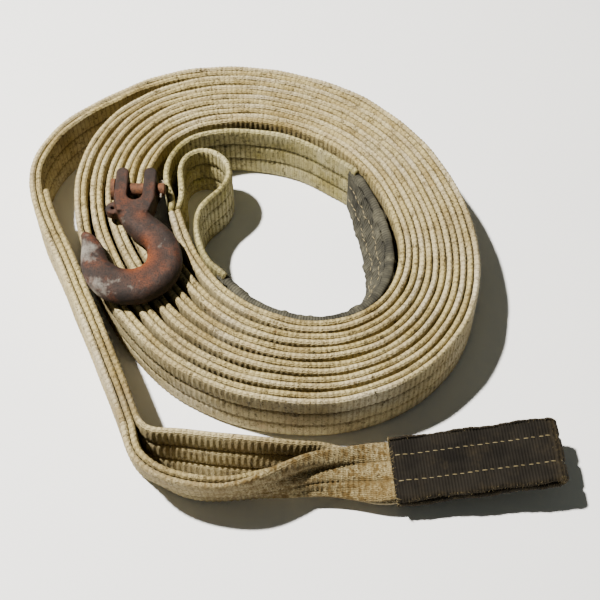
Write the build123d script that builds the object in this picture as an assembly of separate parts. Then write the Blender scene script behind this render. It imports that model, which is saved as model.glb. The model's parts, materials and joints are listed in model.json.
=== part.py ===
from build123d import *
import math
import os

# A two-ply webbing recovery strap, rolled up on its edge, with a clevis hook lying on the roll.
# Millimetres, +Z up. The strap is worked out about the axis of its roll, and at the end the whole
# part is moved so that its origin is the middle of its box at floor level.

# Webbing
strap_width = 50.0
ply = 4.2
ply_gap = 0.7  # between two plies, where the seam threads run
pair_offset = (ply + ply_gap) / 2  # from the middle of a pair of plies to the middle of one
tail_offset = -pair_offset - ply - ply_gap
seam_share = (1 / 3, 2 / 3)  # of the width, where the two long seams run
seam_height = 1.4
seam_thickness = 0.5
tack_pitch = 6.0
tack_count = 6

# The roll: radius against angle, as a mean, a few waves that make it an uneven oval, and a pitch
roll_axis = (-18.0, 35.0)
mean_radius = 84.0
oval = [(1, 4.1, 10.3), (2, -2.1, -15.1), (3, 0.8, 1.4), (4, -2.1, -0.8)]  # wave, cosine, sine
pitch = 11.45
pitch_cosine = -1.45  # the turns lie closer on the right, and fan out on the left
pitch_sine = -1.1
start_points = [(-96, 49), (-91, 34), (-84, 16)]  # from the inner eye's fork on to the roll
first_angle = 215
last_angle = 6 * 360 + 75
angle_step = 20
coil_pieces = 104

# The lead: the loose outer turn, from the roll to the fork of the outer eye
lead_points = [
    (-61, 197),
    (-101, 191.5),
    (-138, 175),
    (-170, 153),
    (-194, 127),
    (-206, 94),
    (-201, 60),
    (-184, 20),
    (-163, -27),
    (-142, -74),
    (-125, -115),
    (-118, -132),
]
lead_pieces = 16
tail_pieces = 8
tail_start = 0.58  # share of the lead at which the cut end of the third ply lies

# The inner eye: from the fork along the top, round the wall of the roll, and back in a fold
upper_leg_points = [
    (-99, 63),
    (-103, 76),
    (-104, 93),
    (-99, 109),
    (-89, 121),
    (-72, 129),
    (-45, 130.5),
    (-20, 127),
    (4, 118),
    (24, 105),
]
fold_points = [
    (-66, 0.5),
    (-75.5, 19),
    (-78.5, 35),
    (-77, 49),
    (-71, 60),
    (-62, 70),
    (-56, 82),
    (-57, 96),
    (-66, 107),
    (-79, 110),
    (-89, 104),
    (-93, 92),
    (-92, 77),
    (-91.5, 63),
]
eye_wall_angles = (405, 225)  # where the eye joins and leaves the wall of the roll
eye_inset = 10.5  # from the middle of the innermost pair of plies to the eye's webbing
fork_gap = 2.0  # at the ends of the eye's two legs
upper_leg_pieces = 14
lower_leg_pieces = 18
sleeve_pieces = 20
sleeve_wall = 1.3
sleeve_room = 0.2
sleeve_seam_share = (0.31, 0.69)
sleeve_outside = ply + 2 * (sleeve_room + sleeve_wall)
webbing_room = ply + 2 * sleeve_room
cavity_bottom = sleeve_wall + sleeve_room
cavity_height = strap_width - 2 * cavity_bottom

# The outer eye: two legs that rise and turn face up into a sleeved bight
bight_mouth = Vector(63.9, -155.4, 16.5)
bight_tip = Vector(181.0, -144.6, 30.0)
bight_lean = 87.0  # degrees from upright, the back edge being the higher
bight_width = 45.0  # the webbing is gathered a little to fit its sleeve
bight_radius = 0.6  # inside the sleeve's fold at the tip
bight_inner = bight_radius + sleeve_wall + sleeve_room
bight_outer = bight_inner + ply + sleeve_room + sleeve_wall
bight_length = (bight_tip - bight_mouth).length - bight_outer
bight_along = (bight_tip - bight_mouth).normalized()
front_leg = [
    (-110.7, -153, 24.6, -9, 49),
    (-98.5, -162, 24.5, -15, 49),
    (-83.5, -169.5, 24.5, -14, 49),
    (-62.4, -173.7, 24.6, -14, 49),
    (-34.8, -172.2, 25.9, -11, 47.6),
    (-5.2, -164.8, 27.9, 18, 37),
    (14.5, -159.3, 24.1, 43, 34.4),
    (35.1, -157.2, 20.4, 65, 37.4),
]  # x, y, z, lean in degrees, and the width left by the pleats
back_leg = [
    (-104, -138, 25, 0, 50),
    (-88, -142.3, 25, 0, 50),
    (-60, -146.6, 25, 0, 50),
    (-32, -149, 24.8, 0, 49),
    (-15, -149, 23.2, 8, 44),
    (0, -149.5, 20.6, 24, 38),
    (15, -149.5, 15.8, 43, 34.5),
    (25.5, -152.4, 14.3, 55, 35),
    (45, -154.3, 11.8, 74, 39),
]
second_layer_rows = 7  # of the front leg's rows, to the cut end of the ply inside it

# Hook: a forging with a round bowl, a beaked tip and two ears, lying flat on the roll
hook_thickness = 18.0
hook_bottom = 50.4
hook_middle = hook_bottom + hook_thickness / 2
hook_line = [
    (-124.5, 42, 12.5, 18.0),
    (-121.5, 30, 10.8, 18.0),
    (-110.5, 19.5, 11.2, 18.0),
    (-101, 6, 12.2, 18.0),
    (-100, -13, 13.4, 18.0),
    (-115, -27.5, 13.8, 18.0),
    (-133, -27, 13.3, 18.0),
    (-146, -16, 11.5, 17.5),
    (-151, -3, 9.5, 16.5),
    (-153.5, 6.5, 7.6, 14.5),
    (-157.5, 14.5, 4.6, 11.0),
    (-160.5, 18.5, 2.4, 7.0),
]  # middle of the forging, its half depth and its thickness, from the shank round to the tip
corner_share = 0.45  # of a section's smaller side, for its corner radius
hook_spans = (0, 3, 5, 7, 11)  # rows of the line between which each piece of the forging runs
ear_centres = (-135.0, -113.8)
ear_width = 9.6
ear_top = 76.5
ear_root = 44.0
yoke_shoulder = 3.0  # above the root, where the yoke is at its full width
yoke_foot = 9.0  # below the root, where it meets the shank
yoke_foot_half = 11.8
slot_bottom = 45.5
lug_centre = (-140.5, 41.0)
lug_radius = 5.6
lug_thickness = 8.0
lug_bore = 1.6

# Clevis pin across the ears, its head on the left and a split pin through its right end
pin_y = 61.5
pin_radius = 4.7
pin_clearance = 0.05
pin_chamfer = 0.8
pin_end = -102.5
head_radius = 8.3
head_thickness = 3.0
head_gap = 0.5
split_x = -105.8
split_radius = 1.0
split_clearance = 0.05
split_reach = 8.2
split_eye_radius = 2.1
split_wire = 0.6


def coil_point(angle, inset=0.0):
    """Polar point of the roll: mean radius, waves of the oval, and a pitch for each turn made."""
    a = math.radians(angle)
    waves = sum(c * math.cos(n * a) + s * math.sin(n * a) for n, c, s in oval)
    step = pitch + pitch_cosine * math.cos(a) + pitch_sine * math.sin(a)
    r = mean_radius + waves + step * angle / 360 - inset
    return (roll_axis[0] + r * math.cos(a), roll_axis[1] + r * math.sin(a))


def side_point(path, share, offset):
    """A point beside the path, to the right of its direction of travel."""
    tangent = path.tangent_at(share)
    return path.position_at(share) + Vector(tangent.Y, -tangent.X).normalized() * offset


def edge_line(path, shares, offset):
    """Arcs beside the path, each through two neighbouring stations and the point between them."""
    arcs = []
    for a, b in zip(shares, shares[1:]):
        ends = [side_point(path, s, offset) for s in (a, (a + b) / 2, b)]
        arcs.append(ThreePointArc(*ends))
    return arcs


def band(path, offset, thickness, bottom, height, start, end, pieces):
    """An upright strip that follows a plan path, between two shares of its length."""
    shares = [start + (end - start) * i / pieces for i in range(pieces + 1)]
    near = edge_line(path, shares, offset - thickness / 2)
    far = edge_line(path, shares, offset + thickness / 2)
    caps = [Line(near[0] @ 0, far[0] @ 0), Line(near[-1] @ 1, far[-1] @ 1)]
    outline = Wire([*near, *far, *caps])
    return Pos(0, 0, bottom) * extrude(Face(outline), amount=height, dir=(0, 0, 1))


# Plan paths. The strap runs from the inner eye's fork, round the roll and along the lead.
coil_path = Spline(
    *start_points,
    *[coil_point(a) for a in range(first_angle, last_angle + 1, angle_step)],
    *lead_points,
)
lead_share = coil_path.param_at_point(Vector(*coil_point(last_angle)))
tail_share = lead_share + (1 - lead_share) * tail_start
eye_wall = [a for a in range(eye_wall_angles[0], eye_wall_angles[1] - 1, -angle_step)]
eye_path = Spline(
    side_point(coil_path, 0, pair_offset),
    *upper_leg_points,
    *[coil_point(a, eye_inset) for a in eye_wall],
    *fold_points,
    side_point(coil_path, 0, -pair_offset),
)
sleeve_shares = [
    eye_path.param_at_point(Vector(*coil_point(a, eye_inset))) for a in eye_wall_angles
]


def coil_band(offset, thickness=ply, bottom=0.0, height=strap_width):
    return band(coil_path, offset, thickness, bottom, height, 0, lead_share, coil_pieces)


def lead_band(offset, thickness=ply, bottom=0.0, height=strap_width):
    return band(coil_path, offset, thickness, bottom, height, lead_share, 1, lead_pieces)


def tail_band():
    return band(coil_path, tail_offset, ply, 0, strap_width, tail_share, 1, tail_pieces)


def seam_thread(share):
    """One of the long seams, in the gap between the two plies."""
    strip = (0, seam_thickness, share * strap_width - seam_height / 2, seam_height)
    return coil_band(*strip) + lead_band(*strip)


def bar_tacks(end_share, direction, offset):
    """Short upright bars of thread between two plies, set back from one end of the strap."""
    bottom = seam_share[0] * strap_width + seam_height
    height = (seam_share[1] - seam_share[0]) * strap_width - 2 * seam_height
    bars = []
    for i in range(1, tack_count + 1):
        start = end_share + direction * i * tack_pitch / coil_path.length
        finish = start + seam_height / coil_path.length
        bars.append(band(coil_path, offset, seam_thickness, bottom, height, start, finish, 1))
    return bars


def inner_sleeve():
    """A fabric tube round the inner eye's webbing, open at both ends."""
    tube = band(eye_path, 0, sleeve_outside, 0, strap_width, *sleeve_shares, sleeve_pieces)
    room = (0, webbing_room, sleeve_wall, strap_width - 2 * sleeve_wall)
    return tube - band(eye_path, *room, *sleeve_shares, sleeve_pieces)


def inner_sleeve_threads():
    """Two seams on the inner sleeve's inward face."""
    offset = (sleeve_outside + seam_thickness) / 2
    seams = []
    for share in sleeve_seam_share:
        strip = (offset, seam_thickness, share * strap_width - seam_height / 2, seam_height)
        seams.append(band(eye_path, *strip, *sleeve_shares, sleeve_pieces))
    return seams


def leaning_plane(place, along, lean):
    """A plane across a leaning strip. Its x is the strip's width: up at a lean of 0, flat at 90."""
    along = Vector(*along).normalized()
    back = Vector(-along.Y, along.X, 0).normalized()
    up = along.cross(back)
    wide = up * math.cos(math.radians(lean)) + back * math.sin(math.radians(lean))
    return Plane(origin=Vector(*place), x_dir=wide, z_dir=along)


def leaning_strip(stations, offset):
    """A ply lofted through stations of place, direction, lean and width."""
    sections = []
    for place, along, lean, width in stations:
        plane = leaning_plane(place, along, lean)
        sections.append(plane * Pos(0, offset) * Rectangle(width, ply))
    return loft(sections, ruled=True)


def leg_stations(start, rows, finish):
    """Stations of an eye's leg, with each direction taken from the neighbouring places."""
    places = [start[0], *[Vector(*row[:3]) for row in rows], finish[0]]
    stations = [start]
    for i, row in enumerate(rows):
        stations.append((places[i + 1], places[i + 2] - places[i], row[3], row[4]))
    return [*stations, finish]


fork = coil_path.position_at(1) + Vector(0, 0, strap_width / 2)
fork_along = coil_path.tangent_at(1)
bight_plane = leaning_plane(bight_mouth, bight_along, bight_lean)
bight_up = bight_along.cross(bight_plane.x_dir)
bight_side = Plane(origin=bight_mouth, x_dir=bight_along, z_dir=bight_plane.x_dir)
bight_face = Plane(origin=bight_mouth, x_dir=bight_along, z_dir=bight_up)


def outer_leg(rows, start_offset, end_offset):
    """One ply of the outer eye, from the fork to the mouth of its sleeve."""
    start_side = leaning_plane(fork, fork_along, 0).y_dir * start_offset
    end_side = bight_plane.y_dir * end_offset
    start = (fork + start_side, fork_along, 0, strap_width)
    finish = (bight_mouth + end_side, bight_along, bight_lean, bight_width)
    return leaning_strip(leg_stations(start, rows, finish), 0)


def second_layer():
    """The ply inside the front leg, cut off short of the sleeve."""
    start_side = leaning_plane(fork, fork_along, 0).y_dir * pair_offset
    start = (fork + start_side, fork_along, 0, strap_width)
    after = front_leg[second_layer_rows]
    stations = leg_stations(start, front_leg[:second_layer_rows], (Vector(*after[:3]),))
    return leaning_strip(stations[:-1], -2 * pair_offset)


def hairpin(inner, outer):
    """A folded strip seen on edge: two straight arms joined by a half round at the tip."""
    arms = []
    for radius in (outer, inner):
        arm = Pos(bight_length / 2, 0) * Rectangle(bight_length, 2 * radius)
        arms.append(arm + Pos(bight_length, 0) * Circle(radius))
    return arms[0] - arms[1]


def bight_layer(inner, outer, width):
    return extrude(bight_side * hairpin(inner, outer), amount=width / 2, both=True)


def outer_sleeve():
    """A fabric tube round the bight, open at its mouth."""
    room_width = bight_width + 2 * sleeve_room
    tube = bight_layer(bight_radius, bight_outer, room_width + 2 * sleeve_wall)
    return tube - bight_layer(bight_radius + sleeve_wall, bight_outer - sleeve_wall, room_width)


def outer_sleeve_threads():
    """Four straight seams, two on each face of the outer sleeve."""
    seam = Pos(bight_length / 2, 0, 0) * Box(bight_length, seam_height, seam_thickness)
    seams = []
    for side in (-1, 1):
        for share in sleeve_seam_share:
            across = (share - 0.5) * bight_width
            above = side * (bight_outer + seam_thickness / 2)
            seams.append(Location(bight_face) * Pos(0, across, above) * seam)
    return seams


def hook_arc(first, last):
    """A piece of the forging, lofted through rounded sections square to the middle line."""
    line = Spline(*[row[:2] for row in hook_line])
    sections = []
    for x, y, half, depth in hook_line[first : last + 1]:
        along = line.tangent_at(line.param_at_point(Vector(x, y)))
        across = Vector(along.Y, -along.X)
        plane = Plane(origin=(x, y, hook_middle), x_dir=across, z_dir=along)
        corner = corner_share * min(2 * half, depth)
        sections.append(plane * RectangleRounded(2 * half, depth, corner))
    return loft(sections)


def hook_ears():
    """Two ears on a yoke, with the slot between them."""
    yoke_half = (ear_centres[1] - ear_centres[0] + ear_width) / 2
    middle = (ear_centres[0] + ear_centres[1]) / 2
    slot_half = yoke_half - ear_width
    top = ear_top - ear_width / 2
    shoulder = ear_root + yoke_shoulder
    foot = ear_root - yoke_foot
    yoke = Polyline(
        (middle - yoke_half, top),
        (middle - yoke_half, shoulder),
        (middle - yoke_foot_half, foot),
        (middle + yoke_foot_half, foot),
        (middle + yoke_half, shoulder),
        (middle + yoke_half, top),
        close=True,
    )
    shape = make_face(yoke)
    for x in ear_centres:
        shape += Pos(x, top) * Circle(ear_width / 2)
    slot_centre = slot_bottom + slot_half
    shape -= Pos(middle, slot_centre) * Circle(slot_half)
    shape -= Pos(middle, slot_centre + ear_top / 2) * Rectangle(2 * slot_half, ear_top)
    return Pos(0, 0, hook_bottom) * extrude(shape, amount=hook_thickness)


def hook_shank():
    lug_place = Pos(*lug_centre, hook_middle)
    body = hook_arc(*hook_spans[:2]) + hook_ears()
    body += lug_place * Cylinder(lug_radius, lug_thickness)
    body -= lug_place * Cylinder(lug_bore, 2 * hook_thickness)
    bore_length = 2 * (ear_centres[1] - ear_centres[0] + ear_width)
    bore = Rot(0, 90, 0) * Cylinder(pin_radius + pin_clearance, bore_length)
    return body - Pos(sum(ear_centres) / 2, pin_y, hook_middle) * bore


def clevis_pin():
    head_right = ear_centres[0] - ear_width / 2 - head_gap
    head_left = head_right - head_thickness
    lying = Pos(0, pin_y, hook_middle) * Rot(0, 90, 0)
    shank = Pos((head_left + pin_end) / 2, 0, 0) * lying * Cylinder(pin_radius, pin_end - head_left)
    head = Pos((head_left + head_right) / 2, 0, 0) * lying * Cylinder(head_radius, head_thickness)
    pin = shank + head
    pin = chamfer(pin.edges().sort_by(Axis.X)[-1], pin_chamfer)
    hole = Rot(90, 0, 0) * Cylinder(split_radius + split_clearance, 4 * pin_radius)
    return pin - Pos(split_x, pin_y, hook_middle) * hole


def split_pin():
    """A ring on a straight double leg, drawn here as one round."""
    leg_bottom = pin_y - split_reach
    leg_top = pin_y + pin_radius + split_radius
    ring_middle = pin_y + pin_radius + split_eye_radius
    leg = Rot(90, 0, 0) * Cylinder(split_radius, leg_top - leg_bottom)
    ring = Torus(split_eye_radius - split_wire, split_wire)
    leg = Pos(split_x, (leg_top + leg_bottom) / 2, hook_middle) * leg
    return leg + Pos(split_x, ring_middle, hook_middle) * ring


arm_offset = bight_inner + ply / 2
between_tail = tail_offset + (ply + ply_gap) / 2
inner_leg = (eye_path, 0, ply, 0, strap_width)
fork_share = fork_gap / eye_path.length
parts = {
    "coil_outer_ply": coil_band(pair_offset),
    "coil_inner_ply": coil_band(-pair_offset),
    "lead_outer_ply": lead_band(pair_offset),
    "lead_inner_ply": lead_band(-pair_offset),
    "tail_ply": tail_band(),
    "seam_thread_upper": seam_thread(seam_share[1]),
    "seam_thread_lower": seam_thread(seam_share[0]),
    "inner_eye_bar_tacks": Compound(bar_tacks(0, 1, 0)),
    "inner_eye_upper_leg": band(*inner_leg, fork_share, sleeve_shares[0], upper_leg_pieces),
    "inner_eye_bight": band(
        eye_path, 0, ply, cavity_bottom, cavity_height, *sleeve_shares, sleeve_pieces
    ),
    "inner_eye_lower_leg": band(*inner_leg, sleeve_shares[1], 1 - fork_share, lower_leg_pieces),
    "inner_eye_sleeve": inner_sleeve(),
    "inner_sleeve_stitching": Compound(inner_sleeve_threads()),
    "outer_eye_bar_tacks": Compound(bar_tacks(1, -1, 0) + bar_tacks(1, -1, between_tail)),
    "outer_eye_front_leg": outer_leg(front_leg, pair_offset, arm_offset),
    "outer_eye_second_layer": second_layer(),
    "outer_eye_back_leg": outer_leg(back_leg, tail_offset, -arm_offset),
    "outer_eye_bight": bight_layer(bight_inner, bight_inner + ply, bight_width),
    "outer_eye_sleeve": outer_sleeve(),
    "outer_sleeve_stitching": Compound(outer_sleeve_threads()),
    "hook_shank": hook_shank(),
    "hook_back": hook_arc(*hook_spans[1:3]),
    "hook_base": hook_arc(*hook_spans[2:4]),
    "hook_tip": hook_arc(*hook_spans[3:]),
    "clevis_pin": clevis_pin(),
    "split_pin": split_pin(),
}

whole = Compound(list(parts.values())).bounding_box()
middle_x = (whole.min.X + whole.max.X) / 2
middle_y = (whole.min.Y + whole.max.Y) / 2
os.makedirs("parts", exist_ok=True)
for name, shape in parts.items():
    export_step(Pos(-middle_x, -middle_y, -whole.min.Z) * shape, f"parts/{name}.step")
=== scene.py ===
import json
import bpy
import numpy as np
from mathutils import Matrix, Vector


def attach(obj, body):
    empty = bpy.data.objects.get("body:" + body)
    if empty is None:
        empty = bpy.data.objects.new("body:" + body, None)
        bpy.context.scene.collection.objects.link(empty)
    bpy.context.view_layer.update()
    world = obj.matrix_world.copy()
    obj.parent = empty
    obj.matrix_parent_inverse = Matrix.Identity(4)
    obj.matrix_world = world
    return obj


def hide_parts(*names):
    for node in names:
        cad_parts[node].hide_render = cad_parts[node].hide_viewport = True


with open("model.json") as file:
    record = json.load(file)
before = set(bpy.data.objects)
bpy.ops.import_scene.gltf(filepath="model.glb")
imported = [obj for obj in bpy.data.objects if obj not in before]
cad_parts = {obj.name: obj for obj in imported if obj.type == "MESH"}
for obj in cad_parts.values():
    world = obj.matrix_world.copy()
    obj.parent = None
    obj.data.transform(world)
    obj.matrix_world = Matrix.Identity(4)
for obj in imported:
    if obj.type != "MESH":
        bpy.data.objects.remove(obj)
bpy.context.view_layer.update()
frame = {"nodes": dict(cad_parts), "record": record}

# Lengths below are in millimetres about the roll's own axis; toFrame moves them into the frame.
lug = [m for m in frame["record"]["mounts"] if m["name"] == "latch_pin_hole"][0]["pos_m"]
lugOnRoll = (-140.5, 41.0)
shift = np.array([lug[0] * 1000 - lugOnRoll[0], lug[1] * 1000 - lugOnRoll[1], 0.0])


def toFrame(points):
    # Moved by the roll's place in the frame, then millimetres to metres
    return (points + shift) / 1000


def smoothPath(points, step):
    # Natural cubic through the points against the distance run. The second derivatives m solve
    # h0 m0 + 2 (h0 + h1) m1 + h1 m2 = 6 (slope1 - slope0), and the result is spaced evenly.
    p = np.array(points, float)
    t = np.concatenate(([0.0], np.cumsum(np.linalg.norm(np.diff(p, axis=0), axis=1))))
    h = np.diff(t)
    n = len(t)
    a = np.eye(n)
    i = np.arange(1, n - 1)
    a[i, i - 1] = h[:-1]
    a[i, i] = 2 * (h[:-1] + h[1:])
    a[i, i + 1] = h[1:]
    slope = np.diff(p, axis=0) / h[:, None]
    right = np.zeros_like(p)
    right[1:-1] = 6 * np.diff(slope, axis=0)
    m = np.linalg.solve(a, right)

    def at(u):
        # The cubic of the piece that u is in, from its slope and second derivatives
        k = np.clip(np.searchsorted(t, u) - 1, 0, n - 2)
        w = (u - t[k])[:, None]
        hk = h[k][:, None]
        first = slope[k] - hk * (2 * m[k] + m[k + 1]) / 6
        return p[k] + w * first + w**2 * m[k] / 2 + w**3 * (m[k + 1] - m[k]) / (6 * hk)

    u = np.linspace(0, t[-1], int(t[-1] * 2))
    run = np.concatenate(([0.0], np.cumsum(np.linalg.norm(np.diff(at(u), axis=0), axis=1))))
    s = np.linspace(0, run[-1], max(3, int(round(run[-1] / step)) + 1))
    place = at(np.interp(s, run, u))
    along = np.gradient(place, axis=0)
    return s, place, along / np.linalg.norm(along, axis=1)[:, None]


def rightOf(along):
    # The way turned a quarter clockwise in plan: (x, y) becomes (y, -x)
    return np.stack((along[:, 1], -along[:, 0]), -1)


def cut(path, start, end):
    # The part of a path between two distances along it
    s, place, along = path
    keep = (s >= start) & (s <= end)
    return s[keep], place[keep], along[keep]


def waves(s, lengths, seed):
    # A slow wander between -1 and 1: sines of several lengths with fixed phases
    phases = np.random.default_rng(seed).uniform(0, 2 * np.pi, len(lengths))
    return sum(np.sin(2 * np.pi * s / w + f) for w, f in zip(lengths, phases)) / len(lengths)


def gridObject(name, grid, attributes):
    # A closed tube from rows of points (rows, around, 3), with a flat cap at each end. The faces are
    # turned round where the volume they hold, measured about the middle, comes out negative.
    rows, around = grid.shape[:2]
    i, j = np.meshgrid(np.arange(rows - 1), np.arange(around), indexing="ij")
    k = (j + 1) % around
    quads = np.stack((i * around + j, (i + 1) * around + j, (i + 1) * around + k, i * around + k), -1)
    quads = quads.reshape(-1, 4)
    first = np.arange(around)
    last = (first + (rows - 1) * around)[::-1]
    points = toFrame(grid.reshape(-1, 3))
    a, b, c, d = (points[quads[:, n]] - points.mean(axis=0) for n in range(4))
    if (a * (np.cross(b, c) + np.cross(c, d))).sum() < 0:
        quads, first, last = quads[:, ::-1], first[::-1], last[::-1]
    loops = [quads.ravel(), first, last]
    starts = [np.arange(len(quads)) * 4, quads.size + np.array([0, around])]
    return meshObject(name, points, loops, starts, attributes)


def meshObject(name, points, loops, starts, attributes=None):
    # Points in metres, the corners of every face in one row, and where in it each face starts
    loops = np.concatenate(loops).astype(np.int32)
    starts = np.concatenate(starts).astype(np.int32)
    mesh = bpy.data.meshes.new(name)
    mesh.vertices.add(len(points))
    mesh.vertices.foreach_set("co", np.asarray(points, np.float32).ravel())
    mesh.loops.add(len(loops))
    mesh.loops.foreach_set("vertex_index", loops)
    mesh.polygons.add(len(starts))
    mesh.polygons.foreach_set("loop_start", starts)
    mesh.update(calc_edges=True)
    mesh.polygons.foreach_set("use_smooth", np.ones(len(starts), bool))
    for key, values in (attributes or {}).items():
        layer = mesh.attributes.new(key, "FLOAT", "POINT")
        layer.data.foreach_set("value", np.asarray(values, np.float32).ravel())
    mesh.validate()
    obj = bpy.data.objects.new(name, mesh)
    bpy.context.scene.collection.objects.link(obj)
    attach(obj, "strap")
    return obj


def linear(text):
    # sRGB hex to linear: below 0.04045 divide by 12.92, above it ((c + 0.055) / 1.055) ^ 2.4
    c = np.array([int(text[n:n + 2], 16) for n in (1, 3, 5)]) / 255
    c = np.where(c <= 0.04045, c / 12.92, ((c + 0.055) / 1.055) ** 2.4)
    return (*[float(v) for v in c], 1.0)


def newMaterial(name):
    # An empty node material
    material = bpy.data.materials.new(name)
    material.use_nodes = True
    material.node_tree.nodes.clear()
    return material


def add(material, kind, inputs=None, output=0, **settings):
    # Adds a node, sets its properties, gives each input a value or a link, and hands back an output
    node = material.node_tree.nodes.new("ShaderNode" + kind)
    for key, value in settings.items():
        setattr(node, key, value)
    for key, value in (inputs or {}).items():
        if isinstance(value, bpy.types.NodeSocket):
            material.node_tree.links.new(value, node.inputs[key])
        else:
            node.inputs[key].default_value = value
    return node.outputs[output] if len(node.outputs) else node


def clouds(material, size, detail=3.0, rough=0.6, offset=(0, 0, 0)):
    # Cloudy pattern on Object coordinates whose features are size millimetres across
    place = add(material, "TexCoord", output="Object")
    moved = add(material, "Mapping", {"Vector": place, "Location": offset})
    inputs = {"Vector": moved, "Scale": 1000 / size, "Detail": detail, "Roughness": rough}
    return add(material, "TexNoise", inputs, "Fac")


def patches(material, size, low, high, detail=4.0, rough=0.6, offset=(0, 0, 0)):
    # Clouds with soft edges: 0 where they are under low, 1 where they are over high
    cloud = clouds(material, size, detail, rough, offset)
    return add(material, "MapRange", {"Value": cloud, "From Min": low, "From Max": high})


def tinted(material, colour, hexColour, mask, strength=1.0):
    # The colour turned to another by the mask times the strength
    share = add(material, "Math", {0: mask, 1: strength}, operation="MULTIPLY")
    inputs = {0: share, 6: colour, 7: linear(hexColour)}
    return add(material, "Mix", inputs, 2, data_type="RGBA")


def ribWaveOf(material):
    # Sine of the number of ribs run: 1 on a rib's near side, -1 in the groove beyond it
    rib = add(material, "Attribute", output="Fac", attribute_name="rib")
    turn = add(material, "Math", {0: rib, 1: 2 * np.pi}, operation="MULTIPLY")
    return add(material, "Math", {0: turn}, operation="SINE")


def finishMaterial(material, colour, height, strength, distance, roughness, **shader):
    # Principled surface over a bump; constants stay on the shader's own sockets
    bump = add(material, "Bump", {"Height": height, "Strength": strength, "Distance": distance})
    inputs = {"Base Color": colour, "Roughness": roughness, "Normal": bump}
    inputs.update({key.replace("_", " "): value for key, value in shader.items()})
    add(material, "OutputMaterial", {"Surface": add(material, "BsdfPrincipled", inputs)})
    return material


def webbingMaterial(name, look):
    # Woven polyester webbing, filament yarn beaten into a ribbed plain weave. The ribs cross the
    # width and turn back at the edges as rounded loops; long use has left it grey, brown and furry.
    material = newMaterial(name)
    deep = look["deep"]
    patch = patches(material, look["patch"], 0.36, 0.66)
    colour = tinted(material, linear(look["light"]), look["dark"], patch)
    stain = patches(material, look["stain"], 0.55, 0.72, 5.0, 0.7, (3, 1, 0))
    colour = tinted(material, colour, look["tint"], stain, 0.55)
    bleach = patches(material, look["patch"] * 1.7, 0.5, 0.75, 3.0, 0.6, (0, 5, 2))
    colour = tinted(material, colour, look["bleached"], bleach, 0.5)
    # along the strap each rib is one repeat; across it the filling yarns are finer and bend with it
    ribWave = ribWaveOf(material)
    yarn = add(material, "Attribute", output="Fac", attribute_name="across")
    yarnPhase = add(material, "Math", {0: ribWave, 1: 0.12, 2: yarn}, operation="MULTIPLY_ADD")
    yarnTurn = add(material, "Math", {0: yarnPhase, 1: 2 * np.pi}, operation="MULTIPLY")
    yarnWave = add(material, "Math", {0: yarnTurn}, operation="SINE")
    # painted shade: the colour darkens towards the deep colour in each rib's groove
    grooveShade = add(material, "MapRange", {"Value": ribWave, "From Min": -0.2, "From Max": -1.0})
    colour = tinted(material, colour, deep, grooveShade, look["grooveShade"])
    # painted shade: the colour darkens towards the deep colour along the two seam grooves
    seam = add(material, "Attribute", output="Fac", attribute_name="seam")
    colour = tinted(material, colour, deep, seam, 0.75)
    # dark specks where two sizes of fur are both low
    fuzz = clouds(material, look["fuzz"], 2.0, 0.7)
    fine = clouds(material, look["fuzz"] * 4, 3.0, 0.7, (1, 1, 1))
    both = add(material, "Math", {0: fuzz, 1: fine}, operation="MULTIPLY")
    clean = add(material, "MapRange", {
        "Value": both, "From Min": look["speckLow"], "From Max": look["speckHigh"], "To Max": 0.75})
    colour = add(material, "Mix", {0: clean, 6: linear(deep), 7: colour}, 2, data_type="RGBA")
    grime = add(material, "MapRange", {"Value": fine, "From Min": 0.3, "From Max": 0.6})
    dirt = add(material, "Attribute", output="Fac", attribute_name="dirt")
    dirty = add(material, "Math", {0: dirt, 1: grime}, operation="MULTIPLY")
    colour = tinted(material, colour, look["dirt"], dirty)
    rustPatch = patches(material, 9.0, 0.66, 0.74, 4.0, 0.7, (7, 2, 4))
    rust = add(material, "Attribute", output="Fac", attribute_name="rust")
    rusty = add(material, "Math", {0: rustPatch, 1: rust}, operation="MULTIPLY")
    colour = tinted(material, colour, "#96592a", rusty)
    fur = add(material, "Math", {0: fuzz, 1: 1.1}, operation="MULTIPLY")
    relief = add(material, "Math", {0: yarnWave, 1: 0.35, 2: fur}, operation="MULTIPLY_ADD")
    relief = add(material, "Math", {0: ribWave, 1: 0.25, 2: relief}, operation="MULTIPLY_ADD")
    return finishMaterial(material, colour, relief, 0.8, 0.0006, 0.95, Specular_IOR_Level=0.25)


def sleeveMaterial(name, look):
    # Tubular nylon sleeve, close ribs across its length, matt from dust and rubbed pale on folds
    material = newMaterial(name)
    patch = patches(material, look["patch"], 0.38, 0.68)
    colour = tinted(material, linear(look["light"]), look["dark"], patch)
    ribWave = ribWaveOf(material)
    # painted shade: the colour darkens towards the deep colour in the grooves between the ribs
    grooveShade = add(material, "MapRange", {"Value": ribWave, "From Min": 0.3, "From Max": -1.0})
    colour = tinted(material, colour, look["deep"], grooveShade, look["grooveShade"])
    worn = add(material, "Attribute", output="Fac", attribute_name="worn")
    rubbed = add(material, "Math", {0: worn, 1: patches(material, 3.0, 0.35, 0.65)}, operation="MULTIPLY")
    colour = tinted(material, colour, look["worn"], rubbed)
    dust = patches(material, look["dustSize"], 0.52, 0.72, 5.0, 0.75, (2, 2, 2))
    colour = tinted(material, colour, look["worn"], dust, look["dust"])
    fuzz = clouds(material, 1.2, 2.0, 0.7)
    relief = add(material, "Math", {0: fuzz, 1: 1.2, 2: ribWave}, operation="MULTIPLY_ADD")
    return finishMaterial(material, colour, relief, 0.7, 0.0003, 0.85, Specular_IOR_Level=0.06)


def threadMaterial(name, hexColour):
    # Bonded polyester thread, laid up of three strands: matt, and mottled with dirt
    material = newMaterial(name)
    fuzz = clouds(material, 1.5)
    colour = tinted(material, linear(hexColour), "#4e4630", fuzz)
    return finishMaterial(material, colour, fuzz, 0.5, 0.0003, 0.8)


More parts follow.
